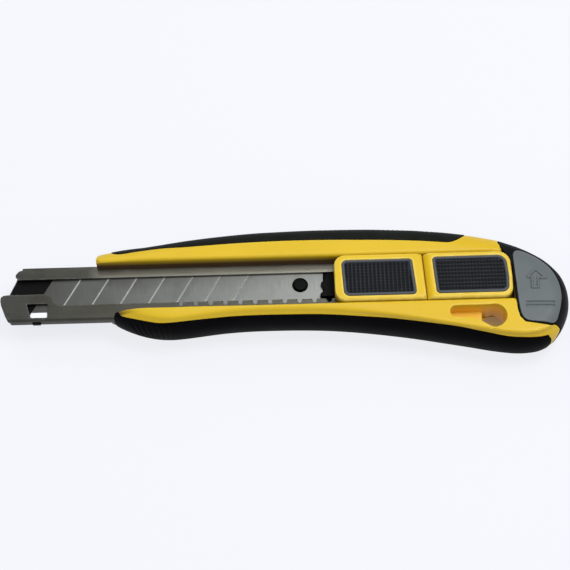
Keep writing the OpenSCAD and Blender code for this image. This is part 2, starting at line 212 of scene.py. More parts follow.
# how much fuller the rounded edge is than the plain profile, at places along the outline
FULL = [(-76, 11.6, 0.0), (-70, 12.9, 0.0), (-62, 14.5, 1.0), (-54, 16.2, 0.9), (-47, 17.3, 0.45), (-32, 19.5, 0.5), (-2, 22.1, 0.4),
        (20, 22.1, 0.65), (50, 20.6, 0.6), (72, 16.5, 0.9), (80, 13.2, 1.15), (88, 8.2, 1.25), (93, 2.5, 1.2), (95.4, -6.4, 0.6),
        (94.4, -12.5, 0.1), (92.2, -17, -0.2), (89.6, -19.6, 0.0), (77, -22.1, 0.0)]
_fs, _fd = foot([(a, b) for a, b, h in FULL])
FULL_H = np.array([h for a, b, h in FULL])[np.argsort(_fs)]
FULL_S = np.sort(_fs)


def pillow(q):
    """Unrolled plan -> points on the casing and their normals (mm)."""
    s, D = foot(q)
    t = EDGE - D
    tc = np.clip(t, 0, T_END)
    d = np.interp(tc, PT, PD)
    z = np.interp(tc, PT, PZ)
    nd, nz = np.interp(tc, PT, PND), np.interp(tc, PT, PNZ)
    over = np.maximum(t - T_END, 0)
    d = d + over
    nd = np.where(over > 0, 0, nd)
    nz = np.where(over > 0, -1, nz)
    p, n = at(s), nat(s)
    flat = t <= 0
    w = np.clip((t - 0.8) / 5.7, 0, 1) * np.clip((T_EQ + 8 - t) / 8, 0, 1)
    full = np.interp(s, FULL_S, FULL_H) * w * w * (3 - 2 * w)
    xy = np.where(flat[:, None], q, p + n * (d - full)[:, None])
    P = np.column_stack([xy, np.where(flat, LIP, z)])
    N = np.column_stack([n * nd[:, None], nz])
    N[flat] = (0, 0, 1)
    return P, N / np.linalg.norm(N, axis=1)[:, None]


def side(s, t):
    """Unrolled-plan point at outline place s and profile place t."""
    s, t = np.broadcast_arrays(np.asarray(s, float), np.asarray(t, float))
    return at(s) + nat(s) * (EDGE - t)[..., None]


def unroll(pts, back=False):
    """Plan points -> unrolled plan, on the front or on the back of the casing."""
    pts = np.array(pts, float)
    s, D = foot(pts)
    D = np.maximum(D, 0)
    if back:
        t = np.where(D < D_END, np.interp(D, PD[60:], PT[60:]), T_END + D - D_END)
        return side(s, t)
    t = np.interp(D, PD[:61][::-1], PT[:61][::-1])
    q = side(s, t)
    q[D >= EDGE] = pts[D >= EDGE]
    return q


def sfoot(x, y):
    return float(foot([[x, y]])[0][0])


def srun(s0, s1, t, step=1.5):
    k = max(2, int(abs(s1 - s0) / step))
    return side(np.linspace(s0, s1, k + 1), np.full(k + 1, t))


# ------------------------------------------------------------------ meshes
COL = bpy.context.scene.collection


def make(name, P, faces, attrs=None, sharp=38):
    me = bpy.data.meshes.new(name)
    me.from_pydata([tuple(v) for v in (np.asarray(P) * MM).tolist()], [], faces)
    me.update()
    for k, v in (attrs or {}).items():
        a = me.attributes.new(k, "FLOAT", "POINT")
        a.data.foreach_set("value", np.asarray(v, np.float32))
    me.polygons.foreach_set("use_smooth", [True] * len(me.polygons))
    me.set_sharp_from_angle(angle=math.radians(sharp))
    o = bpy.data.objects.new(name, me)
    COL.objects.link(o)
    return o


FILL = (0.076, 0.293, 0.617, 1.0)


def patch(loops, fmap, depth, spacing=(1.5, 1.5), xs=None, ys=None, r=0.3, step=1.0, disp=None,
          extra=None, rings=FILL, attrs=None, lift=0.0):
    """A closed solid grown from a region of a flat domain.
    loops: outer outline, then holes. fmap: domain -> (points, normals). depth: (q, P, N) -> inner points.
    r: rounding of the rim, a number or a function of the domain. Returns points, faces, attributes."""
    L = [resample(l, step) for l in loops]
    L = [(l if (area(l) > 0) == (i == 0) else l[::-1]) for i, l in enumerate(L)]
    rf = r if callable(r) else (lambda q: np.full(len(q), float(r)))
    pts, edges, base = [], [], 0
    for l in L:
        pts.append(l)
        n = len(l)
        edges += [(base + i, base + (i + 1) % n) for i in range(n)]
        base += n
    cand = []
    for l in L:
        d = np.roll(l, -1, 0) - np.roll(l, 1, 0)
        nn = np.stack([-d[:, 1], d[:, 0]], 1) / (np.linalg.norm(d, axis=1)[:, None] + 1e-9)
        rr = rf(l)
        for f in rings:
            c = l + nn * (rr * f)[:, None]
            ok = seg_dist(c, L) > rr * f * 0.96
            cand.append(c[ok])
    allb = np.concatenate(L)
    lo, hi = allb.min(0), allb.max(0)
    X = np.arange(lo[0], hi[0], spacing[0]) if xs is None else np.array(xs, float)
    Y = np.arange(lo[1], hi[1], spacing[1]) if ys is None else np.array(ys, float)
    g = np.stack(np.meshgrid(X, Y), -1).reshape(-1, 2)
    g = g[inside(g, L)]
    if len(g):
        g = g[seg_dist(g, L) > rf(g) * 1.02 + 0.3 * min(spacing)]
    cand.append(g)
    if extra is not None:
        e = np.array(extra, float)
        e = e[inside(e, L)]
        cand.append(e[seg_dist(e, L) > rf(e) * 0.3 + 0.02])
    c = np.concatenate(cand)
    c = c[inside(c, L)]
    V = np.concatenate([allb, c])
    res = delaunay_2d_cdt([Vector(v) for v in V.tolist()], edges, [], 0, 1e-5)
    q = np.array([v[:] for v in res[0]])
    tri = np.array([f[:3] for f in res[2] if len(f) == 3])
    cen = q[tri].mean(1)
    tri = tri[inside(cen, L)]
    used = np.unique(tri)
    remap = -np.ones(len(q), int)
    remap[used] = np.arange(len(used))
    q, tri = q[used], remap[tri]
    a = q[tri]
    cr = (a[:, 1, 0] - a[:, 0, 0]) * (a[:, 2, 1] - a[:, 0, 1]) - (a[:, 1, 1] - a[:, 0, 1]) * (a[:, 2, 0] - a[:, 0, 0])
    tri[cr < 0] = tri[cr < 0][:, ::-1]
    tri = tri[np.abs(cr) > 1e-9]
    dist = seg_dist(q, L)
    dist[dist < 1e-4] = 0
    P0, N = fmap(q)
    rr = rf(q)
    u = np.clip(1 - dist / np.maximum(rr, 1e-6), 0, 1)
    P = P0 - N * (rr * (1 - np.sqrt(np.maximum(1 - u * u, 0))))[:, None] + N * lift
    if disp is not None:
        P = P + N * disp(q, dist)[:, None]
    Bp = depth(q, P0, N)
    # the mapping may mirror the domain: keep the normals outward
    t0 = tri[: min(len(tri), 400)]
    fn = np.cross(P0[t0[:, 1]] - P0[t0[:, 0]], P0[t0[:, 2]] - P0[t0[:, 0]])
    if (fn * N[t0[:, 0]]).sum() < 0:
        tri = tri[:, ::-1]
    n = len(q)
    cnt = {}
    for x, y, z in tri.tolist():
        for e in ((x, y), (y, z), (z, x)):
            cnt[e] = cnt.get(e, 0) + 1
    faces = [tuple(t) for t in tri.tolist()]
    faces += [(z + n, y + n, x + n) for x, y, z in tri.tolist()]
    faces += [(y, x, x + n, y + n) for (x, y) in cnt if (y, x) not in cnt]
    A = {"rim": np.concatenate([dist, np.zeros(n)])}
    if attrs:
        for k, f in attrs.items():
            v = f(q)
            A[k] = np.concatenate([v, v])
    return np.vstack([P, Bp]), faces, A


def join(parts):
    P, F, A, base = [], [], {}, 0
    keys = set().union(*[set(p[2]) for p in parts])
    for p, f, a in parts:
        P.append(p)
        F += [tuple(i + base for i in g) for g in f]
        for k in keys:
            A.setdefault(k, []).append(a.get(k, np.zeros(len(p))))
        base += len(p)
    return np.vstack(P), F, {k: np.concatenate(v) for k, v in A.items()}


def flat(z, up=1.0):
    def f(q):
        return np.column_stack([q, np.full(len(q), float(z))]), np.tile((0.0, 0.0, float(up)), (len(q), 1))
    return f


def down(z):
    def f(q, P, N):
        return np.column_stack([P[:, :2], np.full(len(q), float(z))])
    return f


def inward(k):
    return lambda q, P, N: P - N * k


def prism(poly, z0, z1, r=0.25, holes=(), spacing=(2, 2), step=1.0, disp=None, **kw):
    return patch([poly] + list(holes), flat(z1), down(z0), spacing, r=r, step=step, disp=disp, **kw)


def circle(x, y, r, n=40, a0=0.0, a1=TAU):
    a = np.linspace(a0, a1, n, endpoint=(abs(a1 - a0 - TAU) > 1e-6))
    return np.stack([x + r * np.cos(a), y + r * np.sin(a)], 1)


# ------------------------------------------------------------------ materials
def srgb(r, g, b):
    f = lambda c: (c / 255 / 12.92) if c / 255 <= 0.04045 else ((c / 255 + 0.055) / 1.055) ** 2.4
    return (f(r), f(g), f(b), 1.0)


class Mat:
    def __init__(self, name, rough=0.4, metal=0.0, coat=0.0, ior=1.5, sheen=0.0, spec=0.5):
        self.m = bpy.data.materials.new(name)
        self.m.use_nodes = True
        self.t = self.m.node_tree
        self.t.nodes.clear()
        self.out = self.n("ShaderNodeOutputMaterial")
        self.b = self.n("ShaderNodeBsdfPrincipled")
        self.b.inputs["Roughness"].default_value = rough
        self.b.inputs["Metallic"].default_value = metal
        self.b.inputs["IOR"].default_value = ior
        self.b.inputs["Specular IOR Level"].default_value = spec
        if coat:
            self.b.inputs["Coat Weight"].default_value = coat
            self.b.inputs["Coat Roughness"].default_value = 0.15
        if sheen:
            self.b.inputs["Sheen Weight"].default_value = sheen
        self.t.links.new(self.b.outputs[0], self.out.inputs[0])
        self.tc = self.n("ShaderNodeTexCoord").outputs["Object"]

    def n(self, kind, **kw):
        x = self.t.nodes.new(kind)
        for k, v in kw.items():
            setattr(x, k, v)
        return x

    def link(self, a, b):
        self.t.links.new(a, b)

    def put(self, sock, v):
        if hasattr(v, "is_output"):
            self.link(v, sock)
        else:
            sock.default_value = v

    def coords(self, scale=(1, 1, 1), rot=(0, 0, 0)):
        m = self.n("ShaderNodeMapping")
        self.link(self.tc, m.inputs["Vector"])
        m.inputs["Scale"].default_value = scale
        m.inputs["Rotation"].default_value = rot
        return m.outputs[0]

    def noise(self, size, detail=3.0, rough=0.55, vec=None, dist=0.0):
        """size: the feature size in mm."""
        x = self.n("ShaderNodeTexNoise")
        self.link(vec if vec is not None else self.tc, x.inputs["Vector"])
        x.inputs["Scale"].default_value = 1000.0 / size
        x.inputs["Detail"].default_value = detail
        x.inputs["Roughness"].default_value = rough
        x.inputs["Distortion"].default_value = dist
        return x.outputs[0]

    def rng(self, v, a, b, c, d):
        x = self.n("ShaderNodeMapRange")
        self.link(v, x.inputs[0])
        for i, k in enumerate((a, b, c, d)):
            x.inputs[i + 1].default_value = k
        return x.outputs[0]

    def math(self, op, a, b=0.0, clamp=False):
        x = self.n("ShaderNodeMath", operation=op, use_clamp=clamp)
        self.put(x.inputs[0], a)
        self.put(x.inputs[1], b)
        return x.outputs[0]

    def mix(self, fac, a, b, blend="MIX"):
        x = self.n("ShaderNodeMix", data_type="RGBA", blend_type=blend)
        self.put(x.inputs[0], fac)
        self.put(x.inputs[6], a)
        self.put(x.inputs[7], b)
        return x.outputs[2]

    def attr(self, name):
        return self.n("ShaderNodeAttribute", attribute_name=name).outputs["Fac"]

    def xyz(self):
        s = self.n("ShaderNodeSeparateXYZ")
        self.link(self.tc, s.inputs[0])
        return s.outputs

    def bump(self, *heights):
        """(height socket, depth in mm) pairs, chained."""
        prev = None
        for h, mm in heights:
            x = self.n("ShaderNodeBump")
            x.inputs["Strength"].default_value = 1.0
            x.inputs["Distance"].default_value = mm * MM
            self.link(h, x.inputs["Height"])
            if prev is not None:
                self.link(prev, x.inputs["Normal"])
            prev = x.outputs[0]
        self.link(prev, self.b.inputs["Normal"])

    def color(self, v):
        self.put(self.b.inputs["Base Color"], v)

    def rough(self, v):
        self.put(self.b.inputs["Roughness"], v)


def moulded(name, base, dark, recess_shade, rough=(0.34, 0.46), shade_depth_z=None, grain=0.012, rim_wear_and_highlight=None, coat=0.0, spec=0.4, keyhole_bounce_light=None,
            highlight_and_wear_amount=0.3, end=None):
    """Moulded plastic: slow tone drift, spark-eroded grain, rims lightened by wear and by a painted highlight, painted
    shade darkening the colour low inside the slot recesses, painted warm bounce light deep in the keyhole.
    """
    m = Mat(name, ior=1.47, coat=coat, spec=spec)
    drift = m.noise(38, 2, 0.5)
    fine = m.noise(1.1, 4, 0.6)
    spots = m.noise(0.28, 2, 0.5)
    col = m.mix(m.rng(drift, 0.3, 0.7, 0.0, 1.0), base, dark)
    col = m.mix(m.rng(fine, 0.35, 0.75, 0.0, 0.22), col, dark)
    slot_zone = None
    if shade_depth_z:
        x, y, z = m.xyz()[0], m.xyz()[1], m.xyz()[2]
        slot_zone = m.math("MULTIPLY", m.rng(y, 10.7 * MM, 11.3 * MM, 1.0, 0.0), m.rng(y, -8.6 * MM, -8.0 * MM, 0.0, 1.0))
        low = m.rng(z, shade_depth_z[0] * MM, shade_depth_z[1] * MM, 1.0, 0.0)
        # painted shade: the colour darkens low inside the slot recess (lip walls, slide sides, neck gap), where shade
        # falls
        dim = m.math("MULTIPLY", slot_zone, low)
        col = m.mix(dim, col, recess_shade)
        # painted bounce light: warmer, brighter yellow deep inside the keyhole and on the slot floor seen through it
        if keyhole_bounce_light:
            hole = m.math("MULTIPLY", m.rng(x, 53 * MM, 54 * MM, 0.0, 1.0), m.rng(x, 75.2 * MM, 75.8 * MM, 1.0, 0.0))
            hole = m.math("MULTIPLY", hole, m.rng(y, -17.6 * MM, -17.4 * MM, 0.0, 1.0))
            hole = m.math("MULTIPLY", hole, m.math("SUBTRACT", 1.0, slot_zone))
            hole = m.math("MULTIPLY", hole, m.rng(y, 0.0, 2.0 * MM, 1.0, 0.0))
            col = m.mix(m.math("MULTIPLY", hole, m.rng(z, 14.6 * MM, 17.6 * MM, 1.0, 0.0)), col, keyhole_bounce_light)
    if end:
        x, y = m.xyz()[0], m.xyz()[1]
        col = m.mix(m.math("MULTIPLY", m.rng(x, -55.3 * MM, -54.9 * MM, 1.0, 0.0), m.rng(y, -6.2 * MM, -5.9 * MM, 1.0, 0.0)), col, end)
    # rims lightened along the edges: partly wear, partly a painted highlight
    if rim_wear_and_highlight:
        rim = m.rng(m.attr("rim"), 0.0, 0.7, 1.0, 0.0)
        patchy = m.rng(m.noise(3.5, 4, 0.6), 0.42, 0.62, 0.0 if highlight_and_wear_amount < 0.5 else 0.45, 1.0)
        fac = m.math("MULTIPLY", rim, m.math("MULTIPLY", patchy, highlight_and_wear_amount))
        if shade_depth_z:
            fac = m.math("MULTIPLY", fac, m.rng(z, 17.4 * MM, 18.2 * MM, 0.0, 1.0))
        col = m.mix(fac, col, rim_wear_and_highlight)
    m.color(col)
    m.rough(m.rng(m.noise(6, 4, 0.6), 0.3, 0.7, rough[0], rough[1]))
    m.bump((spots, grain), (fine, grain * 0.8))
    return m.m


def rubber(name, base, light, rough=(0.5, 0.68), grain=0.02, shade_depth_z=None, sheen=0.0, spec=0.25, rimcol=None, ridge=None):
    m = Mat(name, ior=1.5, sheen=sheen, spec=spec)
    dust = m.noise(7, 5, 0.65)
    fine = m.noise(0.35, 3, 0.6)
    col = m.mix(m.rng(dust, 0.42, 0.72, 0.0, 0.8), base, light)
    col = m.mix(m.rng(fine, 0.5, 0.8, 0.0, 0.35), col, light)
    # painted highlight and shade: the colour goes from dark in the rib troughs to lighter on the rib tops, by height
    if ridge:
        col = m.mix(m.rng(m.xyz()[2], ridge[0] * MM, ridge[1] * MM, 0.0, 1.0), ridge[2], col)
    if rimcol:
        col = m.mix(m.rng(m.attr("rim"), 0.55, 0.95, 0.85, 0.0), col, rimcol)
    m.color(col)
    m.rough(m.rng(dust, 0.3, 0.7, rough[0], rough[1]))
    m.bump((fine, grain), (m.noise(1.6, 3, 0.5), grain * 0.7))
    return m.m


def steel(name, base, light, stain, rough=(0.36, 0.5), brush=(0.02, 1.0, 1.0), line=0.006, edge=None, metal=1.0,
          along=None, flange_light_strip=None, dim=None):
    """Sheet steel: brushing along one axis, blotchy oxide, fine scratches, brighter rubbed rims; optionally a painted
    light ramp along x, painted light on the upper flange strip, and a darker, browner tone on the lower flange.
    """
    m = Mat(name, metal=metal, ior=1.5)
    lines = m.noise(0.22, 3, 0.6, vec=m.coords(brush))
    wide = m.noise(1.2, 3, 0.5, vec=m.coords(brush))
    blot = m.noise(11, 5, 0.62)
    col = m.mix(m.rng(lines, 0.3, 0.7, 0.0, 1.0), base, light)
    col = m.mix(m.rng(blot, 0.48, 0.72, 0.0, 0.75), col, stain)
    col = m.mix(m.rng(wide, 0.55, 0.75, 0.0, 0.4), col, light)
    # painted light: the colour ramps to a lighter tone towards +x, where the light falls stronger
    if along:
        x = m.xyz()[0]
        col = m.mix(m.rng(x, along[0] * MM, along[1] * MM, 0.0, 1.0), col, along[2])
    # painted light: the upper flange's strip under the band lip is lightened where it lies in shade
    if flange_light_strip:
        y, x = m.xyz()[1], m.xyz()[0]
        k = m.math("MULTIPLY", m.rng(y, 6.9 * MM, 7.1 * MM, 0.0, 0.8), m.rng(x, -66 * MM, -60 * MM, 0.0, 1.0))
        col = m.mix(k, col, flange_light_strip)
    if dim:
        k = m.math("MULTIPLY", m.rng(y, -5.6 * MM, -5.0 * MM, 0.85, 0.0), m.rng(x, -30 * MM, 5 * MM, 0.0, 1.0))
        col = m.mix(k, col, dim)
    scr = m.noise(1.9, 2, 0.4, vec=m.coords((0.12, 1.0, 1.0), (0, 0, 0.5)), dist=0.6)
    col = m.mix(m.rng(scr, 0.66, 0.7, 0.0, 0.35), col, light)
    if edge:
        rim = m.rng(m.attr("rim"), 0.0, 0.35, 1.0, 0.0)
        patchy = m.rng(m.noise(2.2, 4, 0.6), 0.38, 0.6, 0.2, 1.0)
        col = m.mix(m.math("MULTIPLY", rim, m.math("MULTIPLY", patchy, 0.7)), col, edge)
    m.color(col)
    m.rough(m.rng(blot, 0.3, 0.7, rough[0], rough[1]))
    m.bump((lines, line), (wide, line * 0.8))
    return m.m


# yellow_abs: the third colour is painted shade low in the slot; the keyhole colour is painted bounce light; rims are
# lightened by wear and painted highlight
YELLOW = moulded("yellow_abs", srgb(205, 172, 28), srgb(198, 163, 22), srgb(66, 40, 4),
                 shade_depth_z=(14.6, 18.0), rim_wear_and_highlight=srgb(226, 204, 96), spec=0.3, keyhole_bounce_light=srgb(226, 178, 58))
# slide frames: the strong, even rim lightening is a painted highlight along the frame edges; the third colour is
# painted shade low in the slot
SLIDE_YELLOW = moulded("slide_abs", srgb(208, 175, 28), srgb(200, 166, 22), srgb(90, 60, 6),
                       shade_depth_z=(14.0, 17.6), rough=(0.28, 0.4), rim_wear_and_highlight=srgb(238, 218, 120), spec=0.35, highlight_and_wear_amount=0.75)
BACK_YELLOW = moulded("back_abs", srgb(206, 172, 26), srgb(198, 162, 22), srgb(120, 82, 12), rim_wear_and_highlight=None, end=srgb(8, 8, 9))
CAP_BLACK = moulded("cap_abs", srgb(19, 20, 22), srgb(13, 14, 16), srgb(8, 8, 9), rough=(0.42, 0.52),
                    grain=0.006, rim_wear_and_highlight=srgb(52, 56, 60), spec=0.05)
CAP_FACE = moulded("cap_matt", srgb(98, 104, 105), srgb(86, 92, 94), srgb(60, 62, 66), rough=(0.48, 0.62),
                   grain=0.02, rim_wear_and_highlight=srgb(130, 136, 142), spec=0.3)
NYLON = moulded("nylon_black", srgb(11, 11, 12), srgb(7, 7, 8), srgb(5, 5, 5), rough=(0.42, 0.55), grain=0.01, spec=0.07)
TRAY = moulded("tray_pp", srgb(58, 60, 64), srgb(46, 48, 52), srgb(20, 20, 22), rough=(0.4, 0.55))
GRIP_TOP = rubber("grip_rubber_top", srgb(17, 19, 16), srgb(27, 29, 26), rough=(0.5, 0.62), spec=0.05)
GRIP_LOW = rubber("grip_rubber_low", srgb(5, 5, 6), srgb(11, 11, 13), rough=(0.5, 0.62), spec=0.02)
# pads: the ridge colour range paints shade in the rib troughs and a highlight on the rib tops
PAD = rubber("pad_rubber", srgb(34, 37, 41), srgb(50, 54, 60), rough=(0.45, 0.6), grain=0.012, spec=0.12, rimcol=srgb(78, 81, 86),
             ridge=(18.72, 19.06, srgb(8, 9, 10)))
# rail and blade: the x ramp colour is painted light, lighter towards +x; the rail's upper flange strip colour is
# painted light
RAIL = steel("rail_sheet", srgb(62, 62, 57), srgb(72, 72, 67), srgb(55, 53, 48), edge=srgb(122, 122, 117),
             along=(-85, 20, srgb(92, 90, 80)), flange_light_strip=srgb(128, 126, 116), dim=srgb(56, 55, 46))
BLADE = steel("blade_sheet", srgb(52, 52, 48), srgb(61, 62, 58), srgb(48, 48, 44), rough=(0.3, 0.42),
              brush=(1.0, 0.03, 1.0), line=0.004, edge=srgb(118, 120, 118), along=(-80, 10, srgb(68, 70, 67)))
SPRING = steel("spring_wire", srgb(130, 132, 134), srgb(156, 158, 160), srgb(100, 98, 92), rough=(0.25, 0.35))
SCREW = steel("screw_zinc", srgb(120, 122, 126), srgb(150, 152, 156), srgb(90, 88, 84), rough=(0.3, 0.42))


def dress(o, mat):
    o.data.materials.clear()
    o.data.materials.append(mat)
    return o


def piece(name, parts, mat, body, slot, *nodes, sharp=38):
    P, F, A = join(parts) if isinstance(parts, list) else parts
    o = make(name, P, F, A, sharp)
    dress(o, mat)
    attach(o, body)
    if nodes:
        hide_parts(*nodes)
    return o


# ------------------------------------------------------------------ front casing
SEAM_T = smooth([[-57.2, 13.4], [-55.6, 13.0], [-53, 13.2], [-50, 13.8], [-46, 14.4], [-42, 14.8], [-38, 15.0], [-34, 15.0],
                 [-26, 15.4], [-18, 15.8], [-9, 16.1], [0, 16.3], [12, 16.3], [24, 16],
                 [36, 15.6], [46, 15], [52, 14.5], [56.5, 14.2], [59.5, 15.3], [61.6, 16.8]], 3)
SEAM_L = smooth([[-55.4, -7.5], [-54, -8.6], [-50, -10], [-46, -11.1], [-42, -11.9], [-38, -12],
                 [-34, -11.7], [-26, -10.9], [-18, -10.2], [-10, -9.9], [0, -9.9], [10, -10.1],
                 [18, -10.6], [26, -11.4], [34, -12.3], [42, -13.5], [50, -14.9], [58, -16.4],
[66, -18.3], [74, -20.1], [80, -20.6], [84.5, -20.4], [87.6, -19.6]], 3)
S_CT, S_GT, S_GF, S_FT = sfoot(72.7, 16.3), sfoot(62.9, 18.65), sfoot(-58.1, 15.4), sfoot(-60.6, 14.8)
S_CB, S_GB = sfoot(91.9, -16.4), sfoot(88.9, -19.8)
S_CB0 = sfoot(90.3, -19.2)
TS = np.linspace(T_EQ, T_SPLIT, 3)


def poly(*runs):
    return np.concatenate([np.array(r, float).reshape(-1, 2) for r in runs])


def casing_depth(sign):
    def f(q, P, N):
        s, D = foot(q)
        t = np.clip(EDGE - D, 0, T_SPLIT)
        xy = P[:, :2] + nat(s) * (1.6 * np.clip(t / T_EQ, 0, 1))[:, None]
        if sign > 0:
            xy[:, 1] = np.maximum(xy[:, 1], 10.3)
            zb = np.interp(xy[:, 1], [12.15, 13.3], [12.08, 8.02])
        else:
            xy[:, 1] = np.minimum(xy[:, 1], -7.2)
            zb = np.interp(xy[:, 1], [-9.6, -8.35], [8.02, 12.08])
        return np.column_stack([xy, zb])
    return f


def band_r(lip, sign):
    def f(q):
        d = np.abs(q[:, 1] - lip)
        k = np.clip(d / 2.4, 0, 1)
        return (1.35 if sign > 0 else 0.75) * (1 - k) + 0.22 * k
    return f


def line(a, b, step=2.0):
    a, b = np.array(a, float), np.array(b, float)
    k = max(1, int(np.linalg.norm(b - a) / step))
    return [a + (b - a) * i / k for i in range(k + 1)]


up_loop = poly(unroll(line((-62.2, 10.3), (73.9, 10.3))),
               unroll([(74.3, 10.5), (74.3, 10.9), (73.6, 11.9), (72.9, 13.6), (72.75, 15)]),
               side(np.full(3, S_CT), TS), srun(S_CT, S_GT, T_SPLIT)[1:],
               side(np.full(3, S_GT), TS[::-1])[1:], unroll(SEAM_T[::-1]), unroll([(-57.7, 14.2)]),
               side(np.full(3, S_GF), TS), srun(S_GF, S_FT, T_SPLIT)[1:],
               side(np.full(3, S_FT), TS[::-1])[1:], unroll([(-61.7, 13.3), (-62.5, 12.4), (-62.9, 11.4), (-62.8, 10.7)]))
up_band = patch([up_loop], pillow, casing_depth(1), (1.3, 0.8), r=band_r(10.3, 1), step=0.9)

key_hole = poly(circle(70, -13.3, 4, 26, -2.0, 1.885), circle(57.2, -11.6, 2.1, 12, math.pi / 2, math.pi * 1.5),
                [(62.5, -13.9), (65.5, -15.4)])
low_loop = poly(unroll(line((-54.9, -7.2), (77.1, -7.2))),
                unroll([(77.45, -7.5), (77.6, -9.5), (77.7, -11.6), (78.3, -14.2), (79.9, -16.1), (84.3, -16.9), (88.2, -17.1), (90.3, -16.6)]),
                side(np.linspace(S_CB, S_CB0, 5), np.linspace(9.6, T_SPLIT, 5)), srun(S_CB0, S_GB, T_SPLIT)[1:],
                side(np.full(3, S_GB), TS[::-1])[1:], unroll(SEAM_L[::-1]))


def crease(q, dist):
    # behind the slides the lower band stays flat further out, then falls away at a crease
    s, D = foot(q)
    g = np.clip((q[:, 0] - 20) / 30, 0, 1)
    g = 0.42 + 0.58 * g * g * (3 - 2 * g)
    g = g * np.clip((q[:, 0] + 54) / 16, 0, 1)
    t = np.clip(EDGE - D, 0, T_EQ)
    z = np.interp(t, PT, PZ)
    nz = np.interp(t, PT, PNZ)
    k = np.clip((D - 1.5) / 1.9, 0, 1)
    k = k * k * (3 - 2 * k)
    return g * k * (LIP - z) / np.maximum(nz, 0.3)


low_band = patch([low_loop, unroll(key_hole)], pillow, casing_depth(-1), (1.2, 0.45), r=band_r(-7.2, -1), step=0.8, disp=crease)



def clear_of_slot(part, lo=None, hi=None):
    # the rounded lips never lean into the slide's way
    P = np.array(part[0], float)
    P[:, 1] = np.clip(P[:, 1], lo, hi)
    return (P,) + tuple(part[1:])


up_band = clear_of_slot(up_band, 10.3, 99)
low_band = clear_of_slot(low_band, -99, -7.2)
deck = prism(fillet([(62.3, -8), (77, -8), (77, -13.2), (79.5, -13.2), (79.5, 10.1), (62.3, 10.1)], 0.5), 11.45, 12.35, 0.15,
             [circle(70, 1.9, 2.3)])
neck = prism(fillet([(77.3, -13.3), (79.5, -13.3), (79.5, 10.1), (77.3, 10.1)], 0.4), 12.3, 15.45, 0.25, step=0.8)
neck_low = prism(fillet([(76.1, -13.3), (79.5, -13.3), (79.5, -8.4), (76.1, -8.4)], 0.4), 8.05, 15.45, 0.25)
slot_floor = prism(fillet([(54.6, -14.2), (66.2, -14.2), (66.2, -9.1), (54.6, -9.1)], 0.6), 11.2, 12.6, 0.2)
piece("casing_front", [up_band, low_band, deck, neck, neck_low, slot_floor], YELLOW, "handle", "yellow_plastic", "front_shell")

# ------------------------------------------------------------------ grips
TB = np.linspace(T_EQ - 2, T_EQ + 2, 4)


def grip_depth(q, P, N):
    I = P - N * 1.12
    low = P[:, 1] < 0
    I[low, 1] = np.minimum(I[low, 1], -7.25)
    return I


def rib_top(q, dist):
    x = q[:, 0]
    s, D = foot(q)
    t = EDGE - D
    k = np.clip((x - 13) / 3, 0, 1) * np.clip((53.5 - x) / 3, 0, 1)
    k = k * np.clip((t - (T_EQ - 5.5)) / 2.0, 0, 1) * np.clip((T_EQ + 7 - t) / 2.0, 0, 1)
    return 0.14 - k * 0.6 * (0.5 - 0.5 * np.cos(TAU * x / 1.65)) ** 1.5


def rib_low(q, dist):
    x = q[:, 0]
    s, D = foot(q)
    t = EDGE - D
    k = np.clip((x + 54) / 2, 0, 1) * np.clip((-36 - x) / 3, 0, 1)
    k = k * np.clip((t - (T_EQ - 5)) / 2.0, 0, 1) * np.clip((T_EQ + 7 - t) / 2.0, 0, 1)
    return 0.1 - k * 0.4 * (0.5 - 0.5 * np.cos(TAU * x / 2.2)) ** 1.5


back_T = SEAM_T[SEAM_T[:, 0] < 61.8]
gt_loop = poly(unroll(SEAM_T), side(np.full(4, S_GT), TB), unroll(back_T[::-1], True), unroll([(-57.7, 14.2)], True),
               side(np.full(4, S_GF), TB[::-1]), unroll([(-57.7, 14.2)]))
xs = list(np.arange(-58, 12.5, 1.4)) + list(np.arange(12.5, 54.2, 0.33)) + list(np.arange(54.4, 64, 0.9))
grip_t = patch([gt_loop], pillow, grip_depth, (1, 0.9), xs=xs, ys=np.arange(10, 48, 0.9), r=0.35, step=0.9, disp=rib_top)
piece("grip_upper", grip_t, GRIP_TOP, "handle", "grip_rubber", "upper_grip")

S_LF = sfoot(-57.2, -8.1)
low_front = [(-55.2, -7.25), (-56.6, -7.3)]
gl_loop = poly(unroll(SEAM_L[1:]), side(np.full(4, S_GB), TB), unroll(SEAM_L[::-1][:-2], True),
               unroll([(-56.4, -7.6)], True), side(np.full(4, S_LF - 0.1), TB[::-1]), unroll([(-56.6, -7.35), (-55.6, -7.25)]))
xs = list(np.arange(-58, -54.2, 0.5)) + list(np.arange(-54.2, -35.5, 0.42)) + list(np.arange(-35, 90, 1.4))
grip_l = patch([gl_loop], pillow, grip_depth, (1, 0.8), xs=xs, ys=np.arange(-46, -6, 0.8), r=0.35, step=0.8, disp=rib_low)
piece("grip_lower", grip_l, GRIP_LOW, "handle", "grip_rubber", "lower_grip")

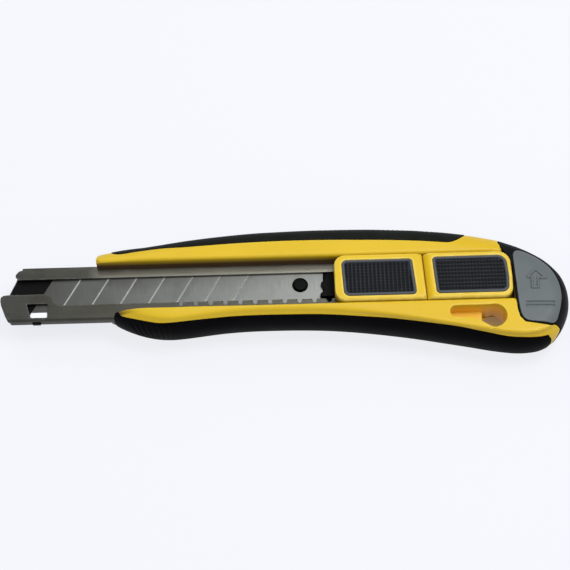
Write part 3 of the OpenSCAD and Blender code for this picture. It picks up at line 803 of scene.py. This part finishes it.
# ------------------------------------------------------------------ end cap
CAPL = [(73.0, 15.2), (73.15, 13.85), (73.85, 12.15), (75.05, 10.25), (76.45, 7.85), (77.15, 4.25), (77.45, -0.75),
        (77.65, -6.75), (77.95, -11.35), (78.5, -13.9), (80.1, -15.8), (84.5, -16.6), (88.2, -16.8), (90.2, -16.3)]
S_C1, S_C2, S_C3 = sfoot(73.0, 16.2), sfoot(90.6, -18.8), sfoot(92.2, -16.1)
T_OUT = T_END + 0.7
cap_loop = poly(unroll(smooth(CAPL, 2)), side(np.linspace(S_C3, S_C2, 5), np.linspace(9.6, T_SPLIT, 5)), side(np.full(7, S_C2), np.linspace(T_SPLIT + 0.5, T_OUT, 7)),
                srun(S_C2, S_C1, T_OUT, 1.2)[1:], side(np.full(8, S_C1), np.linspace(T_OUT, T_EQ, 8))[1:])
FACE = smooth([(77.6, 7.4), (77.75, 9.4), (78.5, 10.4), (80.2, 10.4), (83.2, 9.0), (86.4, 6.8), (89.2, 3.9), (91.1, 0.6),
               (92.2, -2.8), (92.6, -6.4), (92.2, -10), (91.5, -13.0), (90.6, -15.4), (89.2, -16.35), (87.0, -16.3), (84.4, -16.05),
               (81.6, -15.7), (80.0, -15.0), (79.1, -13.8), (78.5, -11.4), (78.2, -7), (78, -1), (77.75, 4), (77.6, 7.4)], 3)[:-1]
face_q = unroll(FACE)
rim = patch([cap_loop, face_q], pillow, inward(1.9), (1.1, 1.1), r=0.3, step=0.7)
_k = np.linspace(S_C1, S_C2, 60)
cap_floor = poly((at(_k) + nat(_k) * (D_END + 0.5)), [(84.5, -17.4), (80.1, -15.95), (78.5, -13.9), (77.95, -11.35), (77.65, -6.75),
                                                    (77.45, -0.75), (77.15, 4.25), (76.45, 7.85), (75.05, 10.25), (73.9, 12.1)])
plate_b = patch([cap_floor], flat(0.02, -1), lambda q, P, N: P + (0, 0, 1.4), (2, 2), r=0.1)
piece("cap_rim", [rim, plate_b], CAP_BLACK, "cap", "cap_plastic", "end_cap")

ARROW = np.array([(84.75, 3.0), (81.8, 0.25), (83.2, 0.1), (83.15, -3.7), (85.1, -3.75), (85.2, -0.1), (87.8, -0.3)])
BARS = [np.array([(80.9, -8.9), (90.1, -9.15)]), np.array([(80.8, -10.15), (90.0, -10.4)])]


def emboss(q, dist):
    a = seg_dist(q, [ARROW])
    b = np.minimum(seg_dist(q, [BARS[0]], False), seg_dist(q, [BARS[1]], False))
    up = 0.5 * np.clip((0.44 - a) / 0.18, 0, 1)
    dn = 0.45 * np.clip((0.42 - b) / 0.16, 0, 1)
    return up - dn - 0.06


near = np.stack(np.meshgrid(np.arange(80.2, 91.0, 0.24), np.arange(-11.2, 3.8, 0.24)), -1).reshape(-1, 2)
near = near[np.minimum(seg_dist(near, [ARROW]), np.minimum(seg_dist(near, [BARS[0]], False), seg_dist(near, [BARS[1]], False))) < 0.75]
near = np.concatenate([near, near + (0.12, 0.12)])
face = patch([face_q], pillow, inward(1.2), (0.9, 0.9), r=0.22, step=0.6, disp=emboss, extra=near)
piece("cap_face", face, CAP_FACE, "cap", "cap_face", "cap_plate", sharp=50)


# ------------------------------------------------------------------ rail, bent from one sheet
BR = 1.0                                   # outer bend radius
QL = math.pi / 2 * BR
Y0, Y1, Z0, Z1 = -8.1, 11.9, 8.0, 12.0
U = [0.0, Y1 - Y0 - 2 * BR]                # floor
U_FL = -(2 * QL + (Z1 - Z0 - 2 * BR))      # lower flange starts here, going down
U_FU = U[1] + 2 * QL + (Z1 - Z0 - 2 * BR)  # upper flange starts here, going up


def sheet_map(q):
    x, u = q[:, 0], q[:, 1]
    y, z = np.zeros_like(u), np.zeros_like(u)
    ny, nz = np.zeros_like(u), np.zeros_like(u)
    h = Z1 - Z0 - 2 * BR
    m = (u >= 0) & (u <= U[1])
    y[m], z[m], ny[m], nz[m] = Y0 + BR + u[m], Z0, 0, -1
    for sgn, base in ((-1, -u), (1, u - U[1])):
        yc = Y0 + BR if sgn < 0 else Y1 - BR
        v = base
        m = (v > 0) & (v <= QL)
        a = v[m] / BR
        y[m], z[m], ny[m], nz[m] = yc + sgn * BR * np.sin(a), Z0 + BR - BR * np.cos(a), sgn * np.sin(a), -np.cos(a)
        m = (v > QL) & (v <= QL + h)
        y[m], z[m], ny[m], nz[m] = yc + sgn * BR, Z0 + BR + v[m] - QL, sgn, 0
        m = (v > QL + h) & (v <= 2 * QL + h)
        a = (v[m] - QL - h) / BR
        y[m], z[m], ny[m], nz[m] = yc + sgn * BR * np.cos(a), Z1 - BR + BR * np.sin(a), sgn * np.cos(a), np.sin(a)
        m = v > 2 * QL + h
        y[m], z[m], ny[m], nz[m] = yc - sgn * (v[m] - 2 * QL - h), Z1, 0, 1
    return np.column_stack([x, y, z]), np.column_stack([np.zeros_like(x), ny, nz])


def ul(y):
    return U_FL - (y - (Y0 + BR))


def uu(y):
    return U_FU + ((Y1 - BR) - y)


def uf(y):
    return y - (Y0 + BR)


NOTCH = -34.5
edge_low = []
for i in range(15, -1, -1):
    xc = NOTCH + 5 * i
    w = 0.8
    edge_low += [(xc + w, ul(-2.6))] + [(xc + w * math.cos(a), ul(-3.2) - 0.0 + w * math.sin(a))
                                        for a in np.linspace(0, math.pi, 7)] + [(xc - w, ul(-2.6))]
nose_low = [(-76.2, ul(-2.6)), (-76.9, ul(-1.2)), (-78, ul(0.4)), (-79.4, ul(1.4)), (-80.6, ul(1.7)), (-93, ul(1.7)),
            (-94.4, ul(1.5)), (-95.2, ul(0.8)), (-95.35, ul(-0.4)), (-95, ul(-2.2)), (-94.1, ul(-4.4)), (-93, ul(-6.6)),
            (-92.2, ul(-7.1)), (-91.8, U_FL + QL), (-91.8, -QL), (-92.2, uf(-7.1)), (-93, uf(-6.6)), (-94.1, uf(-4.4)),
            (-94.9, uf(-2.2)), (-94.9, uf(-0.6)), (-93.2, uf(2)), (-90.4, uf(8.4)), (-90.3, uf(9.2)), (-89.4, uf(10.5)),
            (-88.2, U[1]), (-88, U[1] + QL), (-88, U_FU - QL), (-88.2, U_FU), (-89.4, uu(10.5)), (-90.4, uu(9.2)), (-90.4, uu(8.4)),
            (-89.2, uu(7.2))]
flat_rail = [(61.9, ul(-2.6))] + edge_low + nose_low + [(61.9, uu(7.2))]
window = fillet([(-86.4, ul(-1.9)), (-79.4, ul(-1.9)), (-79.4, ul(-7.0)), (-84.8, ul(-7.0)), (-85.4, ul(-5.2))], 0.25, 3)
clip_slot = fillet([(-84.6, U_FL + 2.2), (-81.4, U_FL + 2.2), (-81.4, U_FL + 3.4), (-84.6, U_FL + 3.4)], 0.2, 3)
bends = []
for b0 in (-QL, U_FL, U[1], U_FU - QL):
    bends += list(np.linspace(b0, b0 + QL, 6))
us = sorted(bends + [1.5 * i + 1.2 for i in range(12)] + [U_FL - 1.2 - 1.3 * i for i in range(8)]
            + [U_FU + 1.2 + 1.2 * i for i in range(3)] + [U_FL + QL + 1, -QL - 1 + 0.01])
rail = patch([flat_rail, window, clip_slot], sheet_map, inward(0.78), (1.5, 0.4), xs=np.arange(-96, 62, 1.6), ys=us, r=0.16,
             step=0.9)
piece("rail_sheet_metal", rail, RAIL, "handle", "rail_steel", "blade_rail", sharp=30)

# ------------------------------------------------------------------ blade
K60 = 18 / math.tan(math.radians(60))
TIP = -86.2


def knife(tip, z, t=0.5, name="blade_body"):
    y0, y1 = 1.9 - 9, 1.9 + 9
    out = [(tip, y0), (tip + K60, y1), (tip + 100, y1), (tip + 99.6, y1 - 9), (tip + 99.2, y0)]
    hole = circle(tip + 92, 3.0, 2.7, 36)
    c, sn = math.cos(math.radians(60)), math.sin(math.radians(60))
    extra = []
    for i in range(1, 8):
        for off in (-0.32, -0.16, -0.05, 0.0, 0.05, 0.16, 0.32):
            for h in np.arange(0.1, 20.7, 0.45):
                extra.append((tip + i * 9.5 + c * h + sn * off, y0 + sn * h - c * off))

    for h in (2.2, 2.32, 2.5):
        for x in np.arange(tip, tip + 100, 0.9):
            extra.append((x, y0 + h))

    def groove(q):
        d = np.full(len(q), 9.0)
        for i in range(1, 8):
            dx, dy = q[:, 0] - (tip + i * 9.5), q[:, 1] - y0
            d = np.minimum(d, np.abs(dx * sn - dy * c))
        return d

    def disp(q, dist):
        g = groove(q)
        h = q[:, 1] - y0
        return -0.13 * np.clip((0.17 - g) / 0.17, 0, 1) - 0.4 * np.clip((2.3 - h) / 2.3, 0, 1)

    return patch([out, hole], flat(z + t), down(z), (2.4, 1.8), r=0.03, step=1.2, disp=disp, extra=extra, rings=(1.0,),
                 attrs={"score": lambda q: np.clip((0.22 - groove(q)) / 0.08, 0, 1),
                        "ground": lambda q: np.clip((2.35 - (q[:, 1] - y0)) / 0.08, 0, 1)})


def blade_material():
    m = Mat("snap_blade", metal=1.0, ior=1.5)
    lines = m.noise(0.2, 3, 0.6, vec=m.coords((1.0, 0.03, 1.0)))
    wide = m.noise(1.6, 3, 0.5, vec=m.coords((1.0, 0.05, 1.0)))
    blot = m.noise(13, 4, 0.6)
    x = m.xyz()[0]
    # painted light: the blade's tones ramp from dark at the left end to bright at the right, standing in for the
    # light's fall-off
    base = m.mix(m.rng(x, -0.085, 0.015, 0.0, 1.0), srgb(67, 67, 62), srgb(134, 136, 132))
    light = m.mix(m.rng(x, -0.085, 0.015, 0.0, 1.0), srgb(79, 79, 75), srgb(148, 150, 147))
    col = m.mix(m.rng(lines, 0.3, 0.7, 0.0, 1.0), base, light)
    col = m.mix(m.rng(blot, 0.5, 0.75, 0.0, 0.5), col, srgb(78, 78, 71))
    # painted reflection: the score grooves are lightened, more at the left end than the right
    col = m.mix(m.math("MULTIPLY", m.attr("score"), m.rng(x, -0.045, -0.005, 0.85, 0.4)), col, srgb(190, 192, 190))
    # painted reflection: the ground bevel is painted near white, as the bright surroundings mirrored in it
    col = m.mix(m.attr("ground"), col, srgb(238, 240, 243))
    m.color(col)
    m.rough(m.rng(blot, 0.3, 0.7, 0.3, 0.42))
    m.bump((lines, 0.004), (wide, 0.003))
    return m.m


BLADE2 = blade_material()
piece("blade_snap", knife(TIP, 10.5), BLADE2, "blade_slide", "blade_steel", "blade", sharp=20)

# ------------------------------------------------------------------ thumb slide and rear button
FR = fillet([(46.95, 9.95), (17.2, 9.95), (17.3, -6.85), (47.75, -6.85)], [0.35, 3.7, 3.7, 0.35], 12)
FP = fillet([(20.2, -5.4), (19.6, 7.9), (43.4, 7.9), (44.5, -5.4)], [2.0, 1.8, 1.2, 1.4], 7)
RR = fillet([(47.2, 9.95), (76.4, 9.95), (76.75, 0.6), (76.6, -6.85), (48.0, -6.85)], [0.35, 4.6, 8.0, 3.6, 0.35], 12)
RP = fillet([(51.1, -5.3), (50.2, 8.3), (75.0, 8.45), (75.55, 0.5), (75.3, -5.3)], [1.3, 1.3, 3.3, 6.0, 2.4], 8)


def front_top(q, dist):
    # the right end falls away into the valley between the two blocks
    ridge = 46.05 - (q[:, 1] - 9.9) * 0.068
    d = np.clip((q[:, 0] - ridge - 0.25) / 0.6, 0, 1)
    crown = -0.12 * np.clip((np.abs(q[:, 1] - 1.5) - 6.8) / 1.5, 0, 1)
    notch = np.clip(1 - np.hypot(q[:, 0] - 46.1, q[:, 1] - 9.9) / 0.8, 0, 1) + np.clip(
        1 - np.hypot(q[:, 0] - 47.2, q[:, 1] + 6.8) / 0.8, 0, 1)
    return -1.0 * d ** 1.2 + crown - 0.7 * notch


def rear_top(q, dist):
    ridge = 49.1 - (q[:, 1] - 9.9) * 0.045
    d = np.clip((ridge - q[:, 0]) / 1.7, 0, 1)
    return -1.6 * d ** 1.1


front = patch([FR, FP], flat(19.3), down(12.5), (0.55, 0.55), r=lambda q: np.where(seg_dist(q, [FP]) < 1.0, 0.32, 0.7), step=0.5,
              disp=front_top)
seat_f = prism(fillet([(19.4, -5.7), (19.1, 8.2), (44.2, 8.2), (45.0, -5.7)], 1.5), 16.6, 17.9, 0.1)
piece("slide_frame", [front, seat_f], SLIDE_YELLOW, "blade_slide", "slider_plastic", "slider_frame")
rear = patch([RR, RP], flat(19.3), down(14.1), (0.55, 0.55), r=lambda q: np.where(seg_dist(q, [RP]) < 1.0, 0.32, 0.7), step=0.5,
             disp=rear_top)
seat_r = prism(fillet([(49.8, -5.7), (49.4, 8.8), (74.0, 8.8), (75.9, 4.2), (75.9, -3.4), (74.0, -5.7)], 1.2), 16.6, 17.9, 0.1,
               [circle(70, 1.9, 4.4)])
piece("button_frame", [rear, seat_r], SLIDE_YELLOW, "rear_button", "slider_plastic", "feed_button")


def shrink(loop, k):
    l = resample(loop, 0.4)
    if area(l) < 0:
        l = l[::-1]
    d = np.roll(l, -1, 0) - np.roll(l, 1, 0)
    n = np.stack([-d[:, 1], d[:, 0]], 1) / np.linalg.norm(d, axis=1)[:, None]
    return l + n * k


def ribs(axis, pitch, cross):
    def f(q, dist):
        a, b = q[:, axis], q[:, 1 - axis]
        field = np.clip((dist - 0.85) / 0.35, 0, 1)
        main = (0.5 - 0.5 * np.cos(TAU * a / pitch)) ** 0.8
        fine = (0.5 - 0.5 * np.cos(TAU * b / cross)) ** 0.8
        return -field * (0.3 + 0.34 * main + 0.16 * fine)
    return f


PFL, PRL = shrink(FP, 0.1), shrink(RP, 0.1)
pad_f = patch([PFL], flat(19.42), down(17.85), xs=np.arange(19, 45.2, 0.17), ys=np.arange(-6, 9, 0.19), spacing=(0.17, 0.19),
              r=0.25, step=0.3, disp=ribs(0, 1.36, 1.1))
piece("slide_pad", pad_f, PAD, "blade_slide", "pad_rubber", "slider_pad", sharp=60)
pad_r = patch([PRL], flat(19.42), down(17.85), xs=np.arange(49, 76.5, 0.19), ys=np.arange(-6, 9.2, 0.17), spacing=(0.19, 0.17),
              r=0.25, step=0.3, disp=ribs(1, 1.36, 1.1))
piece("button_pad", pad_r, PAD, "rear_button", "pad_rubber", "feed_button_pad", sharp=60)

# ------------------------------------------------------------------ blade carrier
tongue = prism(fillet([(1.2, -6.4), (1.2, 10.2), (45.8, 10.2), (45.8, -6.4)], 0.8), 9.72, 10.4, 0.12)
body = prism(fillet([(16.3, -6.5), (16.3, 10.3), (45.9, 10.3), (45.9, -6.5)], 0.6), 10.35, 11.0, 0.12)
bulge = smooth([(18, -2.1), (14.6, -2.0), (13.0, -2.15), (12.5, -1.7), (12.6, -0.9), (13.6, 0.0), (13.9, 0.7), (13.3, 1.5),
                (12.8, 2.3), (12.9, 3.2), (13.6, 3.9), (14.2, 4.9), (14.5, 6.2), (15.2, 6.75), (18, 6.8), (45.8, 6.8), (45.8, -2.1)], 2)
neck_c = prism(bulge, 11.02, 12.45, 0.22, spacing=(1.2, 1.2), step=0.6)
peg = prism(circle(5.8, 3.0, 2.12, 32), 10.3, 11.75, 0.3, spacing=(1, 1), step=0.5)
piece("carrier", [tongue, body, neck_c, peg], NYLON, "blade_slide", "black_nylon", "blade_carrier")

# ------------------------------------------------------------------ the other CAD nodes keep their shape
KEEP = {"back_shell": (BACK_YELLOW, 0.3), "rail_bed": (NYLON, 0.12), "detent_spring": (SPRING, 0.04),
        "feed_spring": (SPRING, 0.0), "feed_plunger": (NYLON, 0.2), "cap_catch": (SPRING, 0.04),
        "magazine_tray": (TRAY, 0.2), "spare_blade_upper": (BLADE, 0.02), "spare_blade_lower": (BLADE, 0.02),
        "magazine_spring": (SPRING, 0.04), "case_screws": (SCREW, 0.08), "rail_rivets": (SCREW, 0.12)}
for name, (mat, w) in KEEP.items():
    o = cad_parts[name]
    for s in o.material_slots:
        s.material = mat
    if not o.material_slots:
        o.data.materials.append(mat)
    if w:
        b = o.modifiers.new("soft_edges", "BEVEL")
        b.width = w * MM
        b.segments = 2
        b.limit_method = "ANGLE"
        b.angle_limit = math.radians(50)
        b.harden_normals = False

# ------------------------------------------------------------------ stage, light, camera
bpy.ops.mesh.primitive_plane_add(size=6.0, location=(0, 0, -0.0005))
floor = bpy.context.object
floor.name = "floor"
fm = bpy.data.materials.new("floor_pale")
fm.use_nodes = True
fb = fm.node_tree.nodes["Principled BSDF"]
fb.inputs["Base Color"].default_value = (0.12, 0.122, 0.126, 1)
fb.inputs["Emission Color"].default_value = (0.905, 0.92, 0.97, 1)
fb.inputs["Emission Strength"].default_value = 0.84
fb.inputs["Roughness"].default_value = 0.9
fb.inputs["Specular IOR Level"].default_value = 0.1
floor.data.materials.append(fm)

w = bpy.data.worlds.new("studio")
bpy.context.scene.world = w
w.use_nodes = True
w.node_tree.nodes["Background"].inputs[0].default_value = (0.96, 0.975, 1.0, 1)
w.node_tree.nodes["Background"].inputs[1].default_value = 1.0
wt = w.node_tree
wc = wt.nodes.new("ShaderNodeTexCoord")
ws = wt.nodes.new("ShaderNodeSeparateXYZ")
wr = wt.nodes.new("ShaderNodeValToRGB")
wt.links.new(wc.outputs["Generated"], ws.inputs[0])
wt.links.new(ws.outputs[2], wr.inputs[0])
wr.color_ramp.elements[0].position, wr.color_ramp.elements[0].color = 0.0, (0.3, 0.305, 0.32, 1)
wr.color_ramp.elements[1].position, wr.color_ramp.elements[1].color = 0.75, (0.88, 0.9, 0.94, 1)
wt.links.new(wr.outputs[0], wt.nodes["Background"].inputs[0])


def area_light(name, loc, target, size, watts, color=(1, 1, 1)):
    l = bpy.data.lights.new(name, "AREA")
    l.shape = "RECTANGLE"
    l.size, l.size_y = size
    l.energy = watts
    l.color = color
    o = bpy.data.objects.new(name, l)
    COL.objects.link(o)
    o.location = loc
    o.rotation_euler = (Vector(target) - Vector(loc)).to_track_quat("-Z", "Y").to_euler()
    return o


area_light("key", (0.24, 0.06, 0.71), (0.03, 0, 0), (0.26, 0.26), 3.0, (1.0, 0.99, 0.96))
area_light("top", (-0.3, 0.75, 0.7), (0, 0, 0), (0.5, 0.3), 1.4, (0.97, 0.98, 1.0))

cam = bpy.data.cameras.new("camera")
co = bpy.data.objects.new("camera", cam)
COL.objects.link(co)
bpy.context.scene.camera = co
E_, A_, D_ = math.radians(64.0), math.radians(-1.70), 0.650
back = Vector((math.sin(A_) * math.cos(E_), -math.cos(A_) * math.cos(E_), math.sin(E_)))
right = Vector((math.cos(A_), math.sin(A_), 0))
up = back.cross(right)
target = Vector((0.0007, 0.0037, 0.010))
co.matrix_world = Matrix.Translation(target + back * D_) @ Matrix((right, up, back)).transposed().to_4x4()
cam.lens = 121.1
cam.sensor_width = 36
cam.clip_start, cam.clip_end = 0.01, 20
bpy.context.scene.view_settings.view_transform = "Standard"
bpy.context.scene.view_settings.look = "None"
